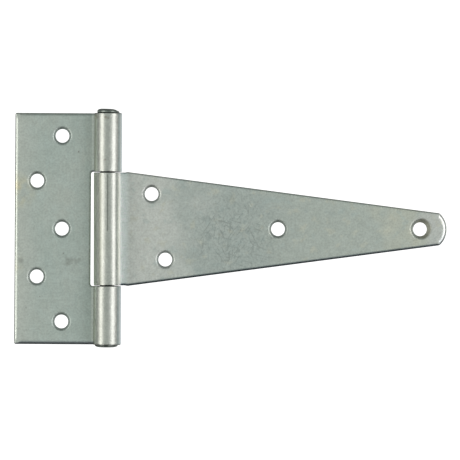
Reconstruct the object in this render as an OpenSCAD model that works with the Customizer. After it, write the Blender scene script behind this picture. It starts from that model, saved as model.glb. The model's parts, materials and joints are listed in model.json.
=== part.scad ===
// T hinge: a rectangular butt leaf and a long tapered strap, rolled round one riveted pin.
// Origin: on the mounting plane, straight behind the pin's axis, half-way along the barrel.
// +X runs towards the strap's tip, +Y runs along the pin, +Z faces away from the door.
// The hinge is drawn flat open, at 0 degrees of swing.

/* [Plate and barrel] */
// Thickness of both plates
plate_t = 2.8; // [2.6:0.1:3.2]
// Diameter of the hinge pin
pin_d = 6.35; // [6:0.05:7]
// Difference between the knuckle's bore and the pin's diameter
pin_play = 0.15; // [0.04:0.01:0.18]
// Length of the strap's knuckle, along the pin
middle_knuckle_l = 50.7; // [46:0.1:51]
// Gap between neighbouring knuckles
knuckle_gap = 0.3; // [0.2:0.1:0.8]
// Gap left where a knuckle's curl comes back to its own plate
seam_gap = 0.2; // [0.1:0.05:0.4]

/* [Butt leaf] */
// From the pin's axis to the leaf's outer edge
leaf_reach = 41.7; // [41:0.1:45]
// Length of the leaf, along the pin
leaf_l = 103.9; // [100:0.1:108]
// From the pin's axis to the edge of the notch that clears the strap's knuckle
notch_x = 7.5; // [7.3:0.1:9]
// Radius in the notch's corners
notch_corner_r = 0.9; // [0.5:0.1:1.2]
// Radius of the leaf's outer corners
leaf_corner_r = 0.8; // [0.5:0.1:2]

/* [Strap] */
// From the pin's axis to the strap's tip
strap_reach = 152.4; // [150:0.2:165]
// Length of the straight neck beside the barrel, from the pin's axis
neck_x = 9.2; // [8.8:0.1:10]
// Half width of the strap where its taper starts
taper_root_w = 25.58; // [25.4:0.02:25.7]
// Angle between the strap's centre line and each tapered edge
taper_angle = 7.47; // [7:0.01:7.6]
// Radius of the strap's end
tip_r = 9.7; // [9:0.1:11]
// Radius where the tapered edges meet the end
tip_corner_r = 1.3; // [0.8:0.1:1.6]

/* [Screw holes] */
// Diameter of each screw hole
hole_d = 6.15; // [5.5:0.05:6.4]
// Diameter of each countersink at the plate's face
sink_d = 8.5; // [8:0.1:9]
// Full angle of the countersinks
sink_angle = 82; // [82:1:90]
// Diameter of the wider countersink at the strap's end
tip_sink_d = 9.5; // [9:0.1:9.8]
// How far the wider countersink is drilled off its hole's centre
tip_sink_shift = 0.3; // [0:0.05:0.4]

/* [Pin heads] */
// Diameter of the upper head
top_head_d = 10.1; // [9.4:0.1:11]
// Height of the upper head
top_head_h = 2; // [1.6:0.1:2.4]
// Diameter of the lower head
bottom_head_d = 10.4; // [9.4:0.1:11]
// Height of the lower head
bottom_head_h = 1.2; // [1:0.1:1.6]

/* [Hidden] */
$fn = 96;

bore_r = (pin_d + pin_play) / 2;
barrel_r = bore_r + plate_t;
pin_z = barrel_r;
notch_l = middle_knuckle_l + 2 * knuckle_gap;

// Screw holes as [x, y] from the origin
LEAF_HOLES = [[-20.5, 41.7], [-20.5, 0], [-20.5, -41.7], [-31.7, 21.5], [-31.7, -21.5]];
STRAP_HOLES = [[19.8, 15.7], [25.95, -13.75], [76.6, 0]];
TIP_HOLE = [140.4, 0];

// The tapered edge is the line y = taper_y0 - taper_slope * x
taper_slope = tan(taper_angle);
taper_y0 = taper_root_w + taper_slope * neck_x;
tip_x = strap_reach - tip_r;

// Centre of the small arc that touches a tapered edge and, from inside, the strap's round end
inset_y0 = taper_y0 - tip_corner_r / cos(taper_angle);
arc_a = 1 + pow(taper_slope, 2);
arc_b = -2 * (tip_x + inset_y0 * taper_slope);
arc_c = pow(tip_x, 2) + pow(inset_y0, 2) - pow(tip_r - tip_corner_r, 2);
corner_x = (-arc_b + sqrt(pow(arc_b, 2) - 4 * arc_a * arc_c)) / (2 * arc_a);
corner_y = inset_y0 - taper_slope * corner_x;

// How much longer than its cut a countersinking cone is
clear = 1.2;

// Square of side r with a quarter circle cut away, pointing into the corner at [0, 0]
module corner_fillet(r) {
    difference() {
        square(r);
        translate([r, r]) circle(r);
    }
}

// Section of a rolled knuckle with the plate leaving it towards +X, pin axis at [0, pin_z]
module knuckle_section(plate_x) {
    // Where the plate's front face would run into the barrel's outside
    curl_x = sqrt(pow(barrel_r, 2) - pow(bore_r, 2));
    difference() {
        translate([0, pin_z]) circle(barrel_r);
        polygon([[0, pin_z], [2 * curl_x, pin_z - 2 * bore_r], [0, pin_z - 2 * bore_r]]);
        square([barrel_r, plate_t + seam_gap]);
        translate([0, pin_z]) circle(bore_r);
    }
    square([plate_x, plate_t]);
}

// A knuckle of length l, centred on y
module knuckle(l, y, plate_x) {
    translate([0, y + l / 2, 0]) rotate([90, 0, 0]) linear_extrude(l) knuckle_section(plate_x);
}

// Through hole with a countersink that is d wide at the front face, shifted by dx
module screw_hole(d = sink_d, dx = 0) {
    cone_h = d / 2 / tan(sink_angle / 2);
    translate([0, 0, -1]) cylinder(d = hole_d, h = plate_t + 2);
    // The cone's point is inside the hole, and its wide end is clear of the face
    translate([dx, 0, plate_t - cone_h]) cylinder(d1 = 0, d2 = clear * d, h = clear * cone_h);
}

// Flat part of the butt leaf beyond the notch, drawn towards +X
module leaf_outline() {
    difference() {
        translate([notch_x, -leaf_l / 2]) square([leaf_reach - notch_x, leaf_l]);
        for (m = [0, 1])
            mirror([0, m]) translate([leaf_reach, leaf_l / 2]) rotate(180) corner_fillet(leaf_corner_r);
    }
    for (m = [0, 1])
        mirror([0, m]) translate([notch_x, notch_l / 2]) rotate(180) corner_fillet(notch_corner_r);
}

// Flat part of the strap beyond its neck: tapered sides and a round end
module strap_outline() {
    // Just past the point where the tapered edge touches its corner arc
    past = 0.05;
    touch_x = corner_x + tip_corner_r * sin(taper_angle) + past * cos(taper_angle);
    touch_y = corner_y + tip_corner_r * cos(taper_angle) - past * sin(taper_angle);
    // Long enough for the sector's straight sides to reach past the round end
    ray = 2 * tip_r / (tip_r - tip_corner_r) * [corner_x - tip_x, corner_y];
    polygon([
        [neck_x, -taper_root_w], [neck_x, taper_root_w], [touch_x, touch_y],
        [corner_x, corner_y], [corner_x, -corner_y], [touch_x, -touch_y]
    ]);
    for (m = [0, 1]) mirror([0, m]) translate([corner_x, corner_y]) circle(tip_corner_r);
    translate([tip_x, 0]) intersection() {
        circle(tip_r);
        polygon([[0, 0], ray, [3 * tip_r, 0], [ray.x, -ray.y]]);
    }
}

module butt_leaf() {
    end_l = (leaf_l - notch_l) / 2;
    color([0.63, 0.67, 0.64]) mirror([1, 0, 0]) difference() {
        union() {
            linear_extrude(plate_t) leaf_outline();
            for (s = [-1, 1]) knuckle(end_l, s * (leaf_l - end_l) / 2, notch_x);
        }
        for (p = LEAF_HOLES) translate([-p.x, p.y, 0]) screw_hole();
    }
}

module strap_leaf() {
    color([0.67, 0.69, 0.67]) difference() {
        union() {
            linear_extrude(plate_t) strap_outline();
            knuckle(middle_knuckle_l, 0, neck_x);
        }
        for (p = STRAP_HOLES) translate(p) screw_hole();
        translate(TIP_HOLE) screw_hole(tip_sink_d, tip_sink_shift);
    }
}

// Pin with its two hammered heads, which bear on the outer ends of the butt leaf's knuckles
module hinge_pin() {
    top_r = top_head_d / 2;
    low_r = bottom_head_d / 2;
    color([0.42, 0.44, 0.42]) translate([0, 0, pin_z]) rotate([-90, 0, 0]) {
        translate([0, 0, -leaf_l / 2]) cylinder(d = pin_d, h = leaf_l);
        translate([0, 0, leaf_l / 2]) rotate_extrude() polygon([
            [0, 0], [0.9 * top_r, 0], [top_r, 0.4 * top_head_h],
            [0.87 * top_r, 0.8 * top_head_h], [0.62 * top_r, top_head_h], [0, top_head_h]
        ]);
        mirror([0, 0, 1]) translate([0, 0, leaf_l / 2]) rotate_extrude() polygon([
            [0, 0], [low_r, 0], [0.96 * low_r, 0.4 * bottom_head_h],
            [0.72 * low_r, 0.85 * bottom_head_h], [0.4 * low_r, bottom_head_h], [0, bottom_head_h]
        ]);
    }
}

butt_leaf();
strap_leaf();
hinge_pin();
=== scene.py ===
import json
import math

import bmesh
import bpy
import numpy as np
from mathutils import Matrix, Vector, geometry, noise


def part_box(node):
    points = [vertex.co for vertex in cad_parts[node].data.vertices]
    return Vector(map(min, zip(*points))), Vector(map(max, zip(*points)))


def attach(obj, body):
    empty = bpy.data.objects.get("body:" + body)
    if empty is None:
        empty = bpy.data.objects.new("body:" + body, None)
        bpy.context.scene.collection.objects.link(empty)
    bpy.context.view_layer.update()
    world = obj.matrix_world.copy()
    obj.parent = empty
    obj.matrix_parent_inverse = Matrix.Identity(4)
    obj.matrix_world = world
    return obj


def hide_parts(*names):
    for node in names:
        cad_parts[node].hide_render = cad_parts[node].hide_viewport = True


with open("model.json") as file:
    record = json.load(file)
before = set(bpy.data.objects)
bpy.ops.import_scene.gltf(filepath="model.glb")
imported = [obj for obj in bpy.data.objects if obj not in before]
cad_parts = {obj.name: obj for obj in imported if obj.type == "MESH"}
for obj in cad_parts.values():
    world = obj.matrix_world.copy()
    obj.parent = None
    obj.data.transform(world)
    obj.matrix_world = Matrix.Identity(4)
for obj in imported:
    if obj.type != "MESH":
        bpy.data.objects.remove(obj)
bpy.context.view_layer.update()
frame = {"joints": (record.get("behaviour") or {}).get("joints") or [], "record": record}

# A zinc-plated T hinge. Each leaf is built as it is made: a stamped flat blank with soft
# upper edges and countersunk holes, whose tabs are then rolled into knuckles round the pin.
# Meshes are worked out in millimetres and stored in metres.

MM = 0.001
LEAF_BOX = [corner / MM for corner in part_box("butt_leaf")]
STRAP_BOX = [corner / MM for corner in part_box("strap_leaf")]
PIN_BOX = [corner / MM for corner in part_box("hinge_pin")]
MOUNTS = {m["name"]: m for m in frame["record"]["mounts"]}

# ---- Sizes, in millimetres ----
PIN_Z = frame["joints"][0]["pos_m"][2] / MM
BARREL_R = PIN_Z
PLATE_T = 2.8
BORE_R = BARREL_R - PLATE_T
PIN_R = 3.175
# Half width of the strap beside and under the barrel, and of its tab further round
NECK_HALF, MIDDLE_HALF = 25.38, 25.31
# The leaf's notch: half its length, and how far its edge is from the pin's axis
NOTCH_HALF, NOTCH_X = 25.60, 7.5
# Where the strap's neck ends and its taper starts
NECK_X = 9.2
# Length and number of points of a soft step in the strap's width
STEP_L, STEP_N = 1.6, 10
TAPER = math.radians(7.47)
TIP_R = 9.7
TIP_CORNER_R = 1.3
TAB_CORNER_R = 0.8
# Spacing of the points on an outline's straight stretches, and on the strap's tapered sides
OUTLINE_STEP, TAPER_STEP = 0.5, 0.6
# How far the flats bow, and how far the curls stray from round
BOW, STRAY = 0.035, 0.018

HOLE_R = MOUNTS["leaf_outer_screws"]["dims"]["hole_r_mm"]
# A countersink: radius where its soft lip starts, how round the lip is, and the cone's slope
LIP_OUT = 4.6
LIP_BEND = 1.15
SINK_TILT = math.radians(49)

# Screw holes: x, y, radius where the soft lip starts, and how far the countersink is off centre
LEAF_HOLES = [
    (-20.5, 41.7, LIP_OUT, 0, 0), (-20.5, 0, LIP_OUT, 0, 0), (-20.5, -41.7, LIP_OUT, 0, 0),
    (-31.7, 21.5, LIP_OUT, 0, 0), (-31.7, -21.5, LIP_OUT, 0, 0),
]
STRAP_HOLES = [
    (19.8, 15.7, LIP_OUT, 0, 0), (25.95, -13.75, LIP_OUT, 0, 0),
    (76.6, 0, LIP_OUT, 0, 0), (140.4, 0, 5.1, 0.3, 0.15),
]

# The stamped edge: how far its soft upper side reaches in, and how far down
ROLL_IN = 1.8
ROLL_DOWN = 1.1
# How far in the loose grid of the flat faces starts, beyond the soft edge
FLAT_IN = 0.3
# How far the leaves sit out of square on the pin, in degrees, anticlockwise from above
LEAF_ASKEW, STRAP_ASKEW = -0.18, 0.12
# How far the outside of a knuckle's top leans towards the strap, and how far the free side
# of the leaf's knuckles bulges, because neither is quite round
LEAF_LEAN, LEAF_BULGE, STRAP_LEAN = 0.18, 0.36, 0.80
# The curl: the radius that keeps its length, the gap to its own plate, the angle where it
# ends, and the length of tab that it takes
CURL_MID_R = (BARREL_R + BORE_R) / 2
SEAM = 0.15
CURL_END = 2 * math.pi - math.acos((BARREL_R - PLATE_T - SEAM) / BARREL_R)
TAB = CURL_END * CURL_MID_R


def smooth(t):
    t = np.clip(t, 0, 1)
    return t * t * (3 - 2 * t)


# ---- Outlines, as (x, y, outward x, outward y), anticlockwise ----
def straight(p, q, step):
    """Points from p up to q, without q, on the edge of a solid that lies to the left."""
    length = math.dist(p, q)
    way = ((q[0] - p[0]) / length, (q[1] - p[1]) / length)
    count = max(1, round(length / step))
    return [
        (p[0] + way[0] * length * i / count, p[1] + way[1] * length * i / count, way[1], -way[0])
        for i in range(count)
    ]


def arc(centre, radius, start, end, count):
    """Points on an arc from start to end, in radians; a clockwise arc is a hollow corner."""
    out = 1 if end > start else -1
    angles = [start + (end - start) * i / count for i in range(count)]
    return [
        (centre[0] + radius * math.cos(a), centre[1] + radius * math.sin(a),
         out * math.cos(a), out * math.sin(a))
        for a in angles
    ]


def rounded(corners, step):
    """A closed outline through corners (x, y, radius), with every corner rounded."""
    bends = []
    for i, (x, y, radius) in enumerate(corners):
        here = Vector((x, y))
        back = (Vector(corners[i - 1][:2]) - here).normalized()
        on = (Vector(corners[(i + 1) % len(corners)][:2]) - here).normalized()
        reach = radius / math.tan(back.angle(on) / 2)
        centre = here + (back + on).normalized() * (radius / math.sin(back.angle(on) / 2))
        first, last = here + back * reach, here + on * reach
        start = math.atan2(*reversed(first - centre))
        turn = (math.atan2(*reversed(last - centre)) - start + math.pi) % (2 * math.pi) - math.pi
        bends.append((first, last, arc(centre, radius, start, start + turn, 10)))
    path = []
    for i, (_, last, points) in enumerate(bends):
        path += points + straight(last, bends[(i + 1) % len(bends)][0], step)
    return path


def leaf_outline():
    """A rectangle with a tab at each end of the pin, and the notch between them."""
    reach, half = -LEAF_BOX[0].x, LEAF_BOX[1].y
    corner_r, hollow_r = 0.85, 0.9
    lower = [
        (-reach, -half, corner_r), (TAB, -half, TAB_CORNER_R),
        (TAB, -NOTCH_HALF, TAB_CORNER_R), (-NOTCH_X, -NOTCH_HALF, hollow_r),
    ]
    upper = [(x, -y, r) for x, y, r in reversed(lower)]
    return rounded(lower + upper, OUTLINE_STEP)


def tip_corner(tip_x, root_half):
    """Centre of the small arc that touches a tapered side and, from inside, the round end."""
    slope = math.tan(TAPER)
    inset_y0 = root_half + slope * NECK_X - TIP_CORNER_R / math.cos(TAPER)
    a = 1 + slope ** 2
    b = -2 * (tip_x + inset_y0 * slope)
    c = tip_x ** 2 + inset_y0 ** 2 - (TIP_R - TIP_CORNER_R) ** 2
    x = (-b + math.sqrt(b * b - 4 * a * c)) / (2 * a)
    return x, inset_y0 - slope * x


def gentle_step(x0, y0, y1):
    """A soft step in the strap's upper edge from y0 to y1, on the way from x0 to the tab's end."""
    path = []
    for i in range(STEP_N):
        t = i / STEP_N
        y = y0 + (y1 - y0) * (1 - math.cos(math.pi * t)) / 2
        tilt = (y0 - y1) * math.pi * math.sin(math.pi * t) / 2 / STEP_L
        length = math.hypot(1, tilt)
        path.append((x0 - STEP_L * t, y, -tilt / length, 1 / length))
    return path


def strap_outline():
    """Tapered sides and a round end, a small soft step at the neck, and the knuckle's tab."""
    tip_x = STRAP_BOX[1].x - TIP_R
    root_half = STRAP_BOX[1].y
    corner_x, corner_y = tip_corner(tip_x, root_half)
    side = math.pi / 2 - TAPER
    end = math.atan2(corner_y, corner_x - tip_x)
    touch = (corner_x + TIP_CORNER_R * math.cos(side), corner_y + TIP_CORNER_R * math.sin(side))
    # The second step is where the curl leaves the barrel's underside
    up_x = -CURL_MID_R * math.radians(75)

    upper = arc((tip_x, 0), TIP_R, 0, end, 16)
    upper += arc((corner_x, corner_y), TIP_CORNER_R, end, side, 8)
    upper += straight(touch, (NECK_X, root_half), TAPER_STEP)
    upper += gentle_step(NECK_X, root_half, NECK_HALF)
    upper += straight((NECK_X - STEP_L, NECK_HALF), (up_x, NECK_HALF), OUTLINE_STEP)
    upper += gentle_step(up_x, NECK_HALF, MIDDLE_HALF)
    upper += straight((up_x - STEP_L, MIDDLE_HALF), (-TAB + TAB_CORNER_R, MIDDLE_HALF), OUTLINE_STEP)
    upper += arc((-TAB + TAB_CORNER_R, MIDDLE_HALF - TAB_CORNER_R), TAB_CORNER_R,
                 math.pi / 2, math.pi, 10)
    upper += straight((-TAB, MIDDLE_HALF - TAB_CORNER_R), (-TAB, 0), OUTLINE_STEP)
    lower = [(x, -y, nx, -ny) for x, y, nx, ny in reversed(upper[1:])]
    return upper + [(-TAB, 0, -1, 0)] + lower


# ---- Stamped edges and countersinks ----
def leaf_softness(border):
    """Share of the full soft edge at each outline point: all of it, but less in the notch."""
    notch = (np.abs(border[:, 1]) < NOTCH_HALF + 1) & (border[:, 0] > -NOTCH_X - 1)
    return np.where(notch, 0.6, 1.0)


def strap_softness(border):
    """Share of the full soft edge: small along the sides, and large round the end."""
    tip_x = STRAP_BOX[1].x - TIP_R
    sides = np.where(border[:, 1] > 0, 0.55, 0.75)
    return sides + (1.3 - sides) * smooth((border[:, 0] - tip_x - 5.2) / 1.8)


# Share of the full soft edge on a tab
TAB_SOFTNESS = 0.35


def soft_edge_rows():
    """Rows down the soft upper side: (share of its reach, share of its drop, edge mark)."""
    turns, marked_from = 11, 4
    angles = [math.pi / 2 * i / turns for i in range(turns + 1)]
    return [(1 - math.sin(a), 1 - math.cos(a), min(1.0, i / marked_from))
            for i, a in enumerate(angles)]


# Rows below the soft side: inset and height on the plate, inset and height on a tab, and the
# edge mark. A tab's back becomes the outside of the barrel, so its corners are broken there.
WALL_ROWS = [
    (0.00, 1.00, 0.00, 0.60, 1.0), (0.00, 0.50, 0.00, 0.30, 1.0), (0.01, 0.16, 0.04, 0.26, 1.0),
    (0.04, 0.06, 0.12, 0.12, 1.0), (0.07, 0.02, 0.22, 0.04, 1.0), (0.13, 0.00, 0.34, 0.00, 0.7),
    (0.45, 0.00, 0.70, 0.00, 0.0),
]


def sink_profile(lip_out):
    """(radius, height, share of the centre's shift, cut mark) down a countersunk hole."""
    rows = [(lip_out + FLAT_IN, PLATE_T, 1.0, 0.0)]
    turns = 7
    for i in range(turns + 1):
        a = SINK_TILT * i / turns
        rows.append((lip_out - LIP_BEND * math.sin(a), PLATE_T - LIP_BEND * (1 - math.cos(a)),
                     1.0, i / turns))
    radius, height = rows[-1][:2]
    depth = (radius - HOLE_R) * math.tan(SINK_TILT)
    # The cone's foot, the hole's wall, and its slightly broken rim on the back
    return rows + [
        (HOLE_R + 0.12, height - depth + 0.14, 0.15, 1.0), (HOLE_R + 0.03, height - depth, 0.0, 1.0),
        (HOLE_R, height - depth - 0.15, 0.0, 1.0), (HOLE_R, 0.12, 0.0, 1.0),
        (HOLE_R + 0.05, 0.03, 0.0, 1.0), (HOLE_R + 0.13, 0.0, 0.0, 0.5), (HOLE_R + 0.45, 0.0, 0.0, 0.0),
    ]


def room_at_corners(border, reach, ease):
    """Share of each outline point's reach that fits, less round tight corners.

    It is back to all of it ease millimetres from a corner.
    """
    spare, most = 1.2, 0.85
    turned = np.roll(border, -1, 0)
    cross = border[:, 2] * turned[:, 3] - border[:, 3] * turned[:, 2]
    length = np.hypot(*(turned - border)[:, :2].T)
    bend = cross / length
    tight = bend * reach * spare > 1
    share = np.ones(len(border))
    for i, point in enumerate(border):
        gaps = np.hypot(*(border[tight, :2] - point[:2]).T)
        at = gaps.argmin()
        least = min(1.0, most / bend[tight][at] / reach[i])
        share[i] = least + (1 - least) * smooth(gaps[at] / ease)
    return share


# ---- Flat faces ----
def inside(points, loop):
    """Which points are inside a closed loop, by counting crossings."""
    x, y = points[:, 0], points[:, 1]
    result = np.zeros(len(points), bool)
    ax, ay = loop[:, 0], loop[:, 1]
    bx, by = np.roll(ax, -1), np.roll(ay, -1)
    for i in range(len(loop)):
        if ay[i] == by[i]:
            continue
        crosses = (ay[i] > y) != (by[i] > y)
        result ^= crosses & (x < (bx[i] - ax[i]) * (y - ay[i]) / (by[i] - ay[i]) + ax[i])
    return result


def between(points, rings):
    """Which points are inside the first ring and outside the others."""
    keep = inside(points, rings[0])
    for ring in rings[1:]:
        keep &= ~inside(points, ring)
    return keep


def filling_points(rings, side):
    """Points that fill a face: a loose grid on the flat, close rows across the curl.

    u is the place along the blank towards the tab's end, and it is 0 where the curl starts.
    """
    flat_step, turn_step, along_step, clearance = 1.6, 0.36, 2.0, 0.35
    low, high = rings[0].min(0), rings[0].max(0)
    reach = -low[0] if side > 0 else high[0]
    tab = high[0] if side > 0 else -low[0]
    us = np.concatenate([np.arange(-reach, -0.5, flat_step), np.arange(0, tab, turn_step)])
    points = []
    for k, u in enumerate(us):
        step = along_step if u >= 0 else flat_step
        ys = np.arange(low[1], high[1], step) + (0 if u >= 0 else (k % 2) * step / 2)
        points += [(side * u, y) for y in ys]
    points = np.array(points)
    points = points[between(points, rings)]
    edge = np.concatenate(rings)
    near = np.array([np.abs(edge - p).sum(1).min() < clearance for p in points])
    return points[~near]


def fill(rings, side):
    """Triangles over the face between an outer ring and its holes: (added points, faces)."""
    added = filling_points(rings, side)
    points = np.concatenate(rings + [added])
    edges, start = [], 0
    for ring in rings:
        count = len(ring)
        edges += [(start + i, start + (i + 1) % count) for i in range(count)]
        start += count
    made = geometry.delaunay_2d_cdt([Vector(p) for p in points], edges, [], 0, 1e-5)
    places, _, faces, origins = made[:4]
    index = [o[0] for o in origins]
    corners = np.array([[places[i] for i in f] for f in faces])
    a, b = corners[:, 1] - corners[:, 0], corners[:, 2] - corners[:, 0]
    # Slivers lie along a straight border, outside the face
    least_area = 1e-5
    real = np.abs(a[:, 0] * b[:, 1] - a[:, 1] * b[:, 0]) > 2 * least_area
    keep = between(corners.mean(1), rings) & real
    return added, [[index[i] for i in f] for f, k in zip(faces, keep) if k]


# ---- Rolled plates ----
class Blank:
    """A flat stamped blank being built: its points, a mark on each of them, and its faces."""

    def __init__(self):
        self.places, self.faces = [], []
        self.marks = {"edge": [], "cut": [], "low": []}

    def add(self, points, height, **marks):
        """Adds points at a height, which may differ from point to point, and numbers them."""
        start = len(self.places)
        heights = np.broadcast_to(height, len(points))
        self.places.extend((*p, h) for p, h in zip(points, heights))
        for key, values in self.marks.items():
            values.extend(np.broadcast_to(marks.get(key, 0.0), len(points)))
        return list(range(start, len(self.places)))

    def wall(self, rows, turned=False):
        """Faces between neighbouring rows, each a closed ring of points."""
        for upper, lower in zip(rows, rows[1:]):
            count = len(upper)
            for i in range(count):
                j = (i + 1) % count
                quad = [upper[i], lower[i], lower[j], upper[j]]
                self.faces.append(quad[::-1] if turned else quad)

    def rim(self, outline, softness, ease, side):
        """The plate's edge, all the way round: its borders on the front and on the back."""
        border = np.array(outline)
        tab = smooth(side * border[:, 0] / 2)
        soft = softness(border) * (1 - tab) + TAB_SOFTNESS * tab
        reach = ROLL_IN * soft
        room = room_at_corners(border, reach + FLAT_IN, ease)
        # How far each outline point faces -Y: the materials paint shade on these edges
        faces_low = np.clip(-border[:, 3], 0, 1)

        def row(inset, height, edge):
            points = border[:, :2] - border[:, 2:] * inset[:, None]
            return self.add(points, height, edge=edge, low=edge * faces_low)

        rows = [row((reach + FLAT_IN) * room, PLATE_T, 0.0)]
        for reach_share, drop_share, edge in soft_edge_rows():
            rows.append(row(reach_share * reach * room, PLATE_T - drop_share * ROLL_DOWN * soft, edge))
        for inset, height, tab_inset, tab_height, edge in WALL_ROWS:
            rows.append(row(inset * (1 - tab) + tab_inset * tab,
                            height * (1 - tab) + tab_height * tab, edge))
        self.wall(rows)
        return rows[0], rows[-1]

    def hole(self, x, y, lip_out, shift_x, shift_y):
        """A countersunk hole: its borders on the front and on the back."""
        angles = np.arange(72) * 2 * math.pi / 72
        ring = np.stack([np.cos(angles), np.sin(angles)], 1)
        rows = []
        for radius, height, share, cut in sink_profile(lip_out):
            centre = np.array((x + shift_x * share, y + shift_y * share))
            rows.append(self.add(centre + ring * radius, height, cut=cut))
        self.wall(rows, turned=True)
        return rows[0], rows[-1]

    def face(self, borders, height, side):
        """The front face, or at height 0 the back, inside its first border and outside the rest."""
        added, triangles = fill([np.array([self.places[i][:2] for i in b]) for b in borders], side)
        index = [i for b in borders for i in b] + self.add(added, height)
        for t in triangles:
            a, b, c = (self.places[index[i]] for i in t)
            up = (b[0] - a[0]) * (c[1] - a[1]) > (b[1] - a[1]) * (c[0] - a[0])
            self.faces.append([index[i] for i in (t if up == (height > 0) else t[::-1])])


def swell(x, y, seed):
    """A slow, smooth unevenness, mostly between -1 and 1."""
    return noise.noise(Vector((x / 31, y / 37, seed))) * 1.3


def roll_up(x, y, w, side, seed):
    """Where a point of the flat blank, at height w, ends up once its tab is rolled up."""
    u = side * x
    if u <= 0:
        bow = BOW * swell(x, y, seed) * min(1, -u / 12)
        return (x, y, max(0.0, w + bow))
    turn = u / CURL_MID_R
    stray = STRAY * noise.noise(Vector((u / 2.2, y / 16, seed + 5))) * min(1, u / 4)
    r = BARREL_R - w + stray
    x, z = side * r * math.sin(turn), PIN_Z - r * math.cos(turn)
    # The lean and the bulge fade away towards the bore
    outside = 1 - w / PLATE_T
    lean = outside * max(0.0, 1 - (x / BARREL_R) ** 2) * smooth((z - PIN_Z) / 4)
    if side < 0:
        return (x + STRAP_LEAN * lean, y, z)
    bulge = outside * max(0.0, x / BARREL_R) ** 2
    return (x + LEAF_LEAN * lean + LEAF_BULGE * bulge, y, z)


def rolled_plate(name, outline, softness, ease, holes, side, seed, askew):
    """The whole plate as one closed mesh, with marks for its edges, cut holes and curl, and for the
    edges facing -Y, which get painted shade.

    Its tabs point along +X if side is 1, and along -X if it is -1. The soft edge has its full
    reach ease millimetres from a corner.
    """
    blank = Blank()
    borders = [blank.rim(outline, softness, ease, side)]
    borders += [blank.hole(*hole) for hole in holes]
    fronts, backs = zip(*borders)
    blank.face(fronts, PLATE_T, side)
    blank.face(backs, 0.0, side)

    us = [side * x for x, _, _ in blank.places]
    marks = dict(blank.marks)
    marks["curl"] = [min(1.0, max(0.0, (u + 1.0) / 2.5)) for u in us]
    marks["turn"] = [max(0.0, u) / TAB for u in us]
    places = [roll_up(*p, side, seed) for p in blank.places]
    return make_piece(name, places, blank.faces, marks, askew, blank.places)


def make_piece(name, places, faces, marks, askew=0.0, flat=None):
    """A piece from places in millimetres, turned askew degrees about Z.

    flat is where its points were in the flat blank, which its material reads as "blank".
    """
    mesh = bpy.data.meshes.new(name)
    turned = np.array(places) @ np.array(Matrix.Rotation(math.radians(askew), 3, "Z")).T
    mesh.from_pydata((turned * MM).tolist(), [], faces)
    mesh.validate()
    for key, values in marks.items():
        layer = mesh.attributes.new(key, "FLOAT", "POINT")
        layer.data.foreach_set("value", values)
    if flat is not None:
        layer = mesh.attributes.new("blank", "FLOAT_VECTOR", "POINT")
        layer.data.foreach_set("vector", np.array(flat, np.float32).ravel() * MM)
    mesh.shade_smooth()
    sharp_from = math.radians(38)
    mesh.set_sharp_from_angle(angle=sharp_from)
    piece = bpy.data.objects.new(name, mesh)
    bpy.context.scene.collection.objects.link(piece)
    return piece


# ---- Pin ----
# Radius of the upper and the lower head, and how far each sits off the pin's centre
HEAD_R, FOOT_R = 5.02, 5.15
HEAD_SHIFT, FOOT_SHIFT = 0.36, -0.28
# The upper head's tilt, how much lower it is than its CAD box, and the share of its radius
# that is hammered away on the strap's side
HEAD_TILT, HEAD_LOWER, HEAD_BEVEL = math.radians(2.2), 0.12, 0.26
# The heads' profiles, as shares of the radius and of the height
HEAD_PROFILE = [
    (0.86, 0.0), (0.965, 0.06), (0.995, 0.18), (1.0, 0.34), (0.985, 0.50), (0.945, 0.66),
    (0.87, 0.81), (0.77, 0.92), (0.66, 0.975), (0.52, 1.0), (0.28, 1.0), (0.0, 1.0),
]
FOOT_PROFILE = [
    (0.965, 0.0), (1.0, 0.10), (0.995, 0.25), (0.96, 0.46), (0.88, 0.68), (0.76, 0.84),
    (0.60, 0.94), (0.35, 0.99), (0.0, 1.0),
]


def pin_profile(shoulder, head_h, foot_h):
    """The pin as (radius, y), from the lower head's middle to the upper head's."""
    sunk = (PIN_R, -0.05)
    head = [sunk] + [(HEAD_R * r, h) for r, h in HEAD_PROFILE]
    foot = [sunk] + [(FOOT_R * r, h) for r, h in FOOT_PROFILE]
    profile = [(r, -shoulder - h * foot_h) for r, h in reversed(foot)]
    profile += [(PIN_R, y) for y in np.linspace(-shoulder + 0.3, shoulder - 0.3, 40)]
    return profile + [(r, shoulder + h * head_h) for r, h in head]


def pin_piece():
    """A turned pin with two hammered heads; the taller head sits a little askew."""
    shoulder = LEAF_BOX[1].y
    head_h = PIN_BOX[1].y - shoulder - HEAD_LOWER
    profile = pin_profile(shoulder, head_h, -shoulder - PIN_BOX[0].y)
    count, dent_share = 96, 0.02
    places, faces, head_mark = [], [], []
    for r, y in profile:
        beyond = max(0.0, abs(y) - shoulder)
        hammered = min(1.0, beyond * 2)
        shift = (HEAD_SHIFT if y > 0 else FOOT_SHIFT) * min(1.0, beyond * 8)
        bevel = HEAD_BEVEL * smooth((beyond / head_h - 0.3) / 0.7) if y > 0 else 0.0
        for i in range(count):
            a = 2 * math.pi * i / count
            dent = noise.noise(Vector((1.6 * math.cos(a), 1.6 * math.sin(a), y * 0.6)))
            radius = r * (1 + dent_share * dent * hammered)
            x, z = radius * math.cos(a), radius * math.sin(a)
            x *= 1 - bevel * max(0.0, math.cos(a))
            lean = -x * math.tan(HEAD_TILT) * hammered if y > 0 else 0.0
            places.append((x + shift, y + lean, PIN_Z + z))
            head_mark.append(min(1.0, beyond * 4))
    for k in range(len(profile) - 1):
        for i in range(count):
            j = (i + 1) % count
            faces.append([k * count + i, (k + 1) * count + i, (k + 1) * count + j, k * count + j])
    piece = make_piece("hinge_pin_riveted", places, faces, {"edge": head_mark})
    close_ends(piece)
    return piece


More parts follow.
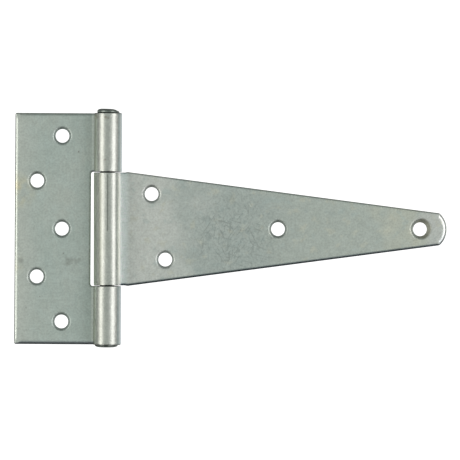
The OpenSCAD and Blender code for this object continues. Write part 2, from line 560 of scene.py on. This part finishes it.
def close_ends(piece):
    """Merges the rings of radius zero at a lathed piece's two ends into points."""
    bm = bmesh.new()
    bm.from_mesh(piece.data)
    bmesh.ops.remove_doubles(bm, verts=bm.verts, dist=1e-7)
    bmesh.ops.dissolve_degenerate(bm, edges=bm.edges, dist=1e-7)
    bmesh.ops.recalc_face_normals(bm, faces=bm.faces)
    bm.to_mesh(piece.data)
    bm.free()


# ---- Nodes ----
class Nodes:
    """A node tree being built, with short calls for its nodes."""

    def __init__(self, tree):
        self.tree = tree

    def node(self, kind, **settings):
        made = self.tree.nodes.new(kind)
        for key, value in settings.items():
            setattr(made, key, value)
        return made

    def link(self, value, socket):
        """Feeds a socket from another socket, a number, or a colour's red, green and blue."""
        if isinstance(value, bpy.types.NodeSocket):
            self.tree.links.new(value, socket)
        elif socket.type == "RGBA":
            socket.default_value = (*value, 1)
        else:
            socket.default_value = value

    def ramp(self, value, low, high, to_low=0.0, to_high=1.0):
        """A value carried smoothly from the range low to high to another range."""
        made = self.node("ShaderNodeMapRange", interpolation_type="SMOOTHSTEP")
        for socket, v in zip(made.inputs[:5], (value, low, high, to_low, to_high)):
            self.link(v, socket)
        return made.outputs["Result"]

    def span(self, place, low, high, to_low=0.0, to_high=1.0):
        """A ramp over a place or distance, with low and high in millimetres."""
        return self.ramp(place, low * MM, high * MM, to_low, to_high)

    def part(self, vector, axis):
        """A vector's X, Y or Z."""
        split = self.node("ShaderNodeSeparateXYZ")
        self.link(vector, split.inputs[0])
        return split.outputs[axis]

    def maths(self, operation, a, b):
        made = self.node("ShaderNodeMath", operation=operation)
        self.link(a, made.inputs[0])
        self.link(b, made.inputs[1])
        return made.outputs[0]

    def times(self, first, *others):
        """The product of several shares."""
        for other in others:
            first = self.maths("MULTIPLY", first, other)
        return first

    def blend(self, share, a, b):
        """A number between a and b."""
        made = self.node("ShaderNodeMix")
        self.link(share, made.inputs[0])
        self.link(a, made.inputs[2])
        self.link(b, made.inputs[3])
        return made.outputs[0]

    def mix(self, share, a, b):
        """A colour between a and b."""
        made = self.node("ShaderNodeMix", data_type="RGBA")
        self.link(share, made.inputs[0])
        self.link(a, made.inputs[6])
        self.link(b, made.inputs[7])
        return made.outputs[2]


class Shader(Nodes):
    """A material being built."""

    def __init__(self, name):
        self.material = bpy.data.materials.new(name)
        self.material.use_nodes = True
        super().__init__(self.material.node_tree)
        self.surface = self.tree.nodes["Principled BSDF"]
        self.place = self.node("ShaderNodeTexCoord").outputs["Object"]

    def mark(self, name):
        return self.node("ShaderNodeAttribute", attribute_name=name).outputs["Fac"]

    def texture(self, place, location, scale, detail, distortion=0.0):
        """Noise between 0 and 1 over a place that is moved and scaled first."""
        mapping = self.node("ShaderNodeMapping")
        self.link(place, mapping.inputs["Vector"])
        mapping.inputs["Location"].default_value = location
        mapping.inputs["Scale"].default_value = scale
        made = self.node("ShaderNodeTexNoise")
        self.link(mapping.outputs["Vector"], made.inputs["Vector"])
        made.inputs["Scale"].default_value = 1.0
        made.inputs["Detail"].default_value = detail
        made.inputs["Distortion"].default_value = distortion
        return made.outputs["Fac"]

    def noise(self, size, stretch=(1, 1, 1), detail=2.0, shift=0.0):
        """Noise between 0 and 1 whose features are about size millimetres across.

        Another shift gives another stretch of the same noise.
        """
        scale = [1 / (size * MM * s) for s in stretch]
        return self.texture(self.place, (shift, shift * 1.7, shift * 0.6), scale, detail)

    def near(self, x, y, radius, soft):
        """1 within radius millimetres of a point of the plate, falling to 0 over soft."""
        made = self.node("ShaderNodeVectorMath", operation="MULTIPLY")
        self.link(self.place, made.inputs[0])
        made.inputs[1].default_value = (1, 1, 0)
        gap = self.node("ShaderNodeVectorMath", operation="DISTANCE")
        self.link(made.outputs[0], gap.inputs[0])
        gap.inputs[1].default_value = (x * MM, y * MM, 0)
        return self.span(gap.outputs["Value"], radius, radius + soft, 1.0, 0.0)

    def within(self, axis, low, high, soft):
        """1 between two places along an axis, in millimetres, falling to 0 over soft."""
        place = self.part(self.place, axis)
        return self.times(self.span(place, low - soft, low),
                          self.span(place, high, high + soft, 1.0, 0.0))

    def along(self, uneven, reach):
        """The place along X, pushed to and fro by noise, at most reach millimetres."""
        push = self.ramp(uneven, 0.2, 0.8, -reach * MM, reach * MM)
        return self.maths("ADD", self.part(self.place, "X"), push)

    def height(self):
        """How far up the plate's thickness a point was in the flat blank."""
        blank = self.node("ShaderNodeAttribute", attribute_name="blank")
        return self.part(blank.outputs["Vector"], "Z")

    def strokes(self, share):
        """Short thin scratches in four directions, 1 on a scratch, only where share allows."""
        length, width = 6.0, 0.7
        scale = [1 / (size * MM) for size in (length, width, length)]
        total = 0.0
        for degrees, shift in ((62, 2.0), (-55, 8.0), (18, 14.0), (96, 21.0)):
            turned = self.node("ShaderNodeVectorRotate", rotation_type="Z_AXIS")
            self.link(self.place, turned.inputs["Vector"])
            turned.inputs["Angle"].default_value = math.radians(degrees)
            lines = self.texture(turned.outputs["Vector"], (shift, shift, 0), scale, 0.0, 0.5)
            total = self.maths("MAXIMUM", total, self.ramp(lines, 0.69, 0.77))
        return self.times(total, share)

    def shade(self, colour, amount):
        """A colour times a number."""
        made = self.node("ShaderNodeVectorMath", operation="SCALE")
        self.link(colour, made.inputs[0])
        self.link(amount, made.inputs["Scale"])
        return made.outputs[0]

    def bump(self, height, strength, depth, under=None):
        """A normal, on top of the normal under; depth is in millimetres."""
        made = self.node("ShaderNodeBump")
        self.link(strength, made.inputs["Strength"])
        made.inputs["Distance"].default_value = depth * MM
        self.link(height, made.inputs["Height"])
        if under is not None:
            self.link(under, made.inputs["Normal"])
        return made.outputs["Normal"]

    def finish(self, colour, roughness, normal):
        self.surface.inputs["Metallic"].default_value = 1.0
        self.link(colour, self.surface.inputs["Base Color"])
        self.link(roughness, self.surface.inputs["Roughness"])
        self.link(normal, self.surface.inputs["Normal"])
        return self.material


# ---- Materials ----
# Painted shade on the wall of a countersink, and painted shade inside the gaps between knuckles
CUT_SHADE, GAP_SHADE = (0.33, 0.38, 0.37), (0.10, 0.11, 0.10)
# Stains on the leaf: x, y, radius and soft rim in millimetres, colour and strength
STAIN_WARM, STAIN_DARK, STAIN_BROWN = (0.82, 0.80, 0.61), (0.36, 0.38, 0.34), (0.43, 0.41, 0.33)
LEAF_STAINS = [
    (-41, 17, 2.5, 8, STAIN_WARM, 1.0), (-40, -16, 1.0, 5, STAIN_WARM, 0.5),
    (-18.0, -14.6, 0.6, 2.4, STAIN_DARK, 0.7), (-14.8, -14.8, 0.4, 2.2, STAIN_DARK, 0.6),
    (-12.6, -13.9, 0.2, 1.2, STAIN_DARK, 0.4), (-38.8, -14.2, 0.4, 1.5, STAIN_DARK, 0.5),
    (-13.0, 34.6, 0.22, 0.25, STAIN_DARK, 0.9), (-19.7, -11.0, 0.2, 0.25, STAIN_DARK, 0.7),
    (-30.3, -30.5, 0.15, 0.3, STAIN_DARK, 0.6), (-36.5, -35.5, 0.15, 0.3, STAIN_DARK, 0.4),
    (-0.7, 49.9, 0.2, 0.8, STAIN_BROWN, 0.8), (0.4, 49.6, 0.2, 0.6, STAIN_BROWN, 0.6),
    (-5.0, 50.2, 0.3, 1.4, STAIN_BROWN, 0.5), (-0.9, 31.0, 0.2, 0.5, STAIN_BROWN, 0.5),
]
# A stain with a wider rim than this is broken up by the cloudy noise
PATCHY_RIM = 2
# The strap's tone at its root, and the tones that follow it. Each starts and is full at a
# distance from the pin's axis, in millimetres.
STRAP_ROOT = (0.875, 0.905, 0.855)
STRAP_TONES = [
    (18, 50, (0.645, 0.715, 0.675)), (62, 88, (0.67, 0.735, 0.675)),
    (116, 132, (0.73, 0.77, 0.675)), (135, 145, (0.775, 0.805, 0.76)),
]


def zinc_grain(s, colour, strength):
    """Fine light and dark grain over a colour, and its height: (colour, grain)."""
    fine = s.noise(0.85, detail=2.5, shift=1.3)
    coarse = s.noise(2.4, detail=2.0, shift=6.1)
    shade = s.maths("ADD", s.ramp(fine, 0.2, 0.8, -strength, strength),
                    s.ramp(coarse, 0.25, 0.75, 1 - strength * 0.5, 1 + strength * 0.5))
    return s.shade(colour, shade), fine


def zinc_rough(s, cloud, fine, low, high, edge):
    """Roughness: low to high on the plate, smoother on its knuckles, and edge on its edge."""
    rough = s.blend(s.mark("curl"), s.ramp(cloud, 0.3, 0.7, low, high),
                    s.ramp(fine, 0.3, 0.7, 0.35, 0.41))
    return s.blend(s.mark("edge"), rough, edge)


def zinc_bump(s, fine, under):
    """The fine grain as bump, deeper on the knuckles."""
    return s.bump(fine, s.ramp(s.mark("curl"), 0, 1, 0.5, 1.0), 0.05, under)


def barrel_tone(s, plate, bands):
    """The rolled knuckles: warmer and smoother than the plate, in bands along the pin.

    Each band is (share, colour): painted light and shade at a place round the curl. The ends of the
    knuckles get painted shade inside the gaps.
    """
    cloud = s.noise(4, stretch=(1, 2.5, 1), detail=3.0, shift=2.2)
    warm = s.mix(s.ramp(cloud, 0.3, 0.7), (0.655, 0.685, 0.63), (0.715, 0.745, 0.69))
    for share, tint in bands:
        warm = s.mix(share, warm, tint)
    # Painted shade on the knuckles' ends inside the gaps between them
    gap_shade = s.times(s.ramp(s.mark("edge"), 0.8, 1.0), s.span(s.height(), 0.03, 0.18))
    warm = s.mix(gap_shade, warm, GAP_SHADE)
    return s.mix(s.mark("curl"), plate, warm)


def leaf_zinc():
    """Dull greenish zinc with faint rolling lines along the pin, and a few stains."""
    s = Shader("leaf_zinc")
    turn = s.mark("turn")
    slow = s.noise(24, detail=2.0)
    lines = s.noise(1.2, stretch=(1, 12, 1), detail=3.0, shift=3.1)
    cloud = s.noise(6, detail=3.0, shift=7.7)

    share = s.maths("ADD", s.ramp(slow, 0.3, 0.7), s.ramp(lines, 0.25, 0.75, -0.25, 0.25))
    colour = s.mix(share, (0.65, 0.742, 0.69), (0.71, 0.776, 0.715))
    colour = s.mix(s.ramp(cloud, 0.35, 0.7, 0.0, 0.5), colour, (0.645, 0.747, 0.705))
    outer = s.span(s.along(slow, 4), -30, -41)
    colour = s.mix(outer, colour, (0.74, 0.795, 0.735))
    # A painted highlight in a band on the leaf beside the barrel
    painted_highlight_beside_barrel = s.within("X", -6.9, -5.0, 0.4)
    colour = s.mix(painted_highlight_beside_barrel, colour, (0.86, 0.94, 0.875))
    # Painted shade on the countersinks' walls
    colour = s.mix(s.times(s.mark("cut"), 0.5), colour, CUT_SHADE)
    # Painted shade on the edges that face -Y
    colour = s.mix(s.mark("low"), colour, (0.44, 0.50, 0.53))

    # Painted light and shade in bands round the leaf's knuckles: painted shade where the curl meets its
    # plate and on the flank, a bluish painted reflection on the far side
    near_side = s.ramp(turn, 0.765, 0.83)
    flank = s.times(s.ramp(turn, 0.455, 0.425), s.ramp(turn, 0.36, 0.40))
    far_side = s.ramp(turn, 0.38, 0.35)
    colour = barrel_tone(s, colour, [
        (near_side, (0.27, 0.28, 0.235)), (flank, (0.46, 0.53, 0.51)), (far_side, (0.62, 0.71, 0.73)),
    ])
    patchy = s.ramp(cloud, 0.35, 0.65)
    for x, y, radius, soft, tint, strength in LEAF_STAINS:
        spot = s.times(s.near(x, y, radius, soft), strength)
        if soft > PATCHY_RIM:
            spot = s.times(spot, patchy)
        colour = s.mix(spot, colour, tint)
    colour, fine = zinc_grain(s, colour, 0.09)
    rough = zinc_rough(s, cloud, fine, 0.47, 0.54, 0.36)
    normal = zinc_bump(s, fine, s.bump(lines, 0.25, 0.02))
    return s.finish(colour, rough, normal)


def strap_zinc():
    """Mottled zinc, palest at the root and the tip, with a bluish worn and scratched middle."""
    s = Shader("strap_zinc")
    cut, turn = s.mark("cut"), s.mark("turn")
    slow = s.noise(14, detail=4.0, shift=5.0)
    cloud = s.noise(5, detail=4.0, shift=7.7)
    patches = s.noise(4.5, detail=2.0, shift=31.0)

    along = s.along(slow, 12)
    colour = STRAP_ROOT
    for start, full, tone in STRAP_TONES:
        colour = s.mix(s.span(along, start, full), colour, tone)
    colour = s.mix(s.ramp(cloud, 0.35, 0.75, 0.0, 0.35), colour, (0.55, 0.62, 0.58))
    colour = s.mix(s.ramp(patches, 0.56, 0.72, 0.0, 0.45), colour, (0.80, 0.81, 0.68))
    colour = s.mix(s.ramp(patches, 0.42, 0.28, 0.0, 0.45), colour, (0.60, 0.70, 0.67))
    # A painted highlight in a band on the strap beside the barrel
    neck = s.within("X", 5.0, 7.4, 3.2)
    colour = s.mix(neck, colour, (0.90, 0.99, 0.955))

    worn = s.near(57, -3, 8, 18)
    wear = s.ramp(s.noise(1.6, detail=4.0, shift=9.0), 0.48, 0.66)
    colour = s.mix(s.times(worn, wear, 0.45), colour, (0.42, 0.50, 0.48))
    scratches = s.strokes(worn)
    colour = s.mix(s.times(scratches, 0.38), colour, (0.30, 0.34, 0.32))
    # Painted shade on the countersinks' walls
    colour = s.mix(s.times(cut, 0.5), colour, CUT_SHADE)
    # Painted shade on the edges that face -Y
    colour = s.mix(s.mark("low"), colour, (0.34, 0.40, 0.43))
    # The wide side of the last countersink, which is drilled off centre
    crescent = s.times(s.near(142.6, 0.6, 4.3, 0.7), cut)
    colour = s.mix(s.times(crescent, 0.8), colour, (0.50, 0.51, 0.42))

    # Painted light and shade in bands round the strap's knuckles: painted shade on the far side and the
    # shoulder, a painted highlight beside its own plate
    far_side = s.ramp(turn, 0.44, 0.37)
    shoulder = s.times(s.ramp(turn, 0.520, 0.475), s.ramp(turn, 0.440, 0.465))
    near_side = s.ramp(turn, 0.765, 0.795)
    colour = barrel_tone(s, colour, [
        (far_side, (0.35, 0.37, 0.32)), (shoulder, (0.48, 0.51, 0.44)), (near_side, (0.98, 0.97, 0.93)),
    ])
    line = s.times(s.within("X", 0.15, 0.45, 0.2), s.within("Y", -0.5, 24.0, 0.8), s.mark("curl"))
    colour = s.mix(s.times(line, 0.85), colour, (0.28, 0.30, 0.27))
    colour, fine = zinc_grain(s, colour, 0.10)
    rough = s.blend(crescent, zinc_rough(s, cloud, fine, 0.46, 0.56, 0.27), 0.6)
    normal = zinc_bump(s, fine, s.bump(cloud, 0.2, 0.03))
    normal = s.bump(scratches, -0.4, 0.04, normal)
    return s.finish(colour, rough, normal)


def pin_zinc():
    """Darker hammered zinc on the heads, and a shank painted near black as shade inside the knuckles.
    """
    s = Shader("pin_zinc")
    cloud = s.noise(1.8, detail=3.0)
    fine = s.noise(0.5, detail=2.0, shift=4.0)
    heads = s.mix(s.ramp(cloud, 0.3, 0.7), (0.26, 0.30, 0.275), (0.41, 0.46, 0.42))
    # The shank is painted near black: painted shade where it shows in the gaps
    colour = s.mix(s.mark("edge"), (0.06, 0.065, 0.06), heads)
    rough = s.ramp(fine, 0.3, 0.7, 0.30, 0.42)
    normal = s.bump(fine, 0.3, 0.03, s.bump(cloud, 0.5, 0.1))
    return s.finish(colour, rough, normal)


# ---- Surroundings, placed in metres ----
def white_floor(drop):
    """A plain white floor, low enough for the strap to swing down past the leaf.

    It is seen as pure white. It lights the object less strongly than that, least of all from
    beyond the leaf and from beyond the barrel's ends.
    """
    half = 5.0
    corners = [(-half, -half, 0), (half, -half, 0), (half, half, 0), (-half, half, 0)]
    mesh = bpy.data.meshes.new("floor")
    mesh.from_pydata(corners, [], [(0, 1, 2, 3)])
    floor = bpy.data.objects.new("floor", mesh)
    floor.location = (0.055, 0, -drop)
    bpy.context.scene.collection.objects.link(floor)
    s = Shader("floor_white")
    seen = s.node("ShaderNodeLightPath").outputs["Is Camera Ray"]
    glow = s.times(s.span(s.part(s.place, "X"), -300, 220, 0.03, 0.65),
                   s.ramp(s.within("Y", -60, 60, 100), 0, 1, 0.1, 1.0))
    s.link(s.blend(seen, glow, 1.0), s.surface.inputs["Emission Strength"])
    s.link((0.35, 0.35, 0.35), s.surface.inputs["Base Color"])
    s.link((1, 1, 1), s.surface.inputs["Emission Color"])
    s.surface.inputs["Roughness"].default_value = 0.9
    mesh.materials.append(s.material)


def strip_light(name, tilt, radiance, width, tint):
    """A long softbox along the pin's direction, tilt degrees from straight up."""
    length, distance, nearer = 1.8, 1.0, Vector((0, -0.25, 0))
    data = bpy.data.lights.new(name, "AREA")
    data.shape = "RECTANGLE"
    data.size, data.size_y = width, length
    data.energy = radiance * math.pi * width * length
    data.color = tint
    lamp = bpy.data.objects.new(name, data)
    a = math.radians(tilt)
    lamp.location = Vector((math.sin(a), 0, math.cos(a))) * distance + nearer
    lamp.rotation_euler = (0, a, 0)
    lamp.visible_camera = False
    bpy.context.scene.collection.objects.link(lamp)


def sky(overhead, low, far_end, near_end):
    """A soft surround: dim overhead, dimmer low down, and dark beyond the barrel's near end."""
    world = bpy.data.worlds.new("studio")
    bpy.context.scene.world = world
    world.use_nodes = True
    s = Nodes(world.node_tree)
    back = s.tree.nodes["Background"]
    s.link((0.93, 1, 0.96), back.inputs["Color"])
    way = s.node("ShaderNodeTexCoord").outputs["Generated"]
    up, along_pin = s.part(way, "Z"), s.part(way, "Y")
    sides = s.ramp(up, 0.1, 0.6, low, overhead)
    far = s.ramp(along_pin, 0.25, 0.75, sides, far_end)
    s.link(s.ramp(along_pin, -0.25, -0.75, far, near_end), back.inputs["Strength"])


def overhead_camera():
    """Straight above the flat hinge and far away, a hair off square."""
    # The view is view_w wide at the height plate_h; the sensor and the lens are in millimetres
    distance, plate_h, view_w, sensor = 2.0, 0.002, 0.20663, 36
    data = bpy.data.cameras.new("camera")
    data.sensor_width = sensor
    data.lens = sensor * (distance - plate_h) / view_w
    data.clip_end = 20
    camera = bpy.data.objects.new("camera", data)
    camera.location = (0.05503, -0.0003, distance)
    camera.rotation_euler = (0, 0, math.radians(0.18))
    bpy.context.scene.collection.objects.link(camera)
    bpy.context.scene.camera = camera


# ---- The hinge ----
leaf = rolled_plate("butt_leaf_stamped", leaf_outline(), leaf_softness, 2.6, LEAF_HOLES,
                    side=1, seed=2.0, askew=LEAF_ASKEW)
leaf.data.materials.append(leaf_zinc())
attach(leaf, "leaf_body")
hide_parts("butt_leaf")

strap = rolled_plate("strap_leaf_stamped", strap_outline(), strap_softness, 1.1, STRAP_HOLES,
                     side=-1, seed=9.0, askew=STRAP_ASKEW)
strap.data.materials.append(strap_zinc())
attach(strap, "strap_body")
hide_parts("strap_leaf")

pin = pin_piece()
pin.data.materials.append(pin_zinc())
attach(pin, "leaf_body")
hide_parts("hinge_pin")

white_floor(0.17)
strip_light("left_strip", -51, 1.56, 0.44, (1.06, 1, 0.965))
strip_light("right_strip", 49.5, 1.50, 0.55, (1.06, 1, 1.02))
sky(0.42, 0.22, 0.21, 0.03)
overhead_camera()
bpy.context.scene.view_settings.view_transform = "Standard"
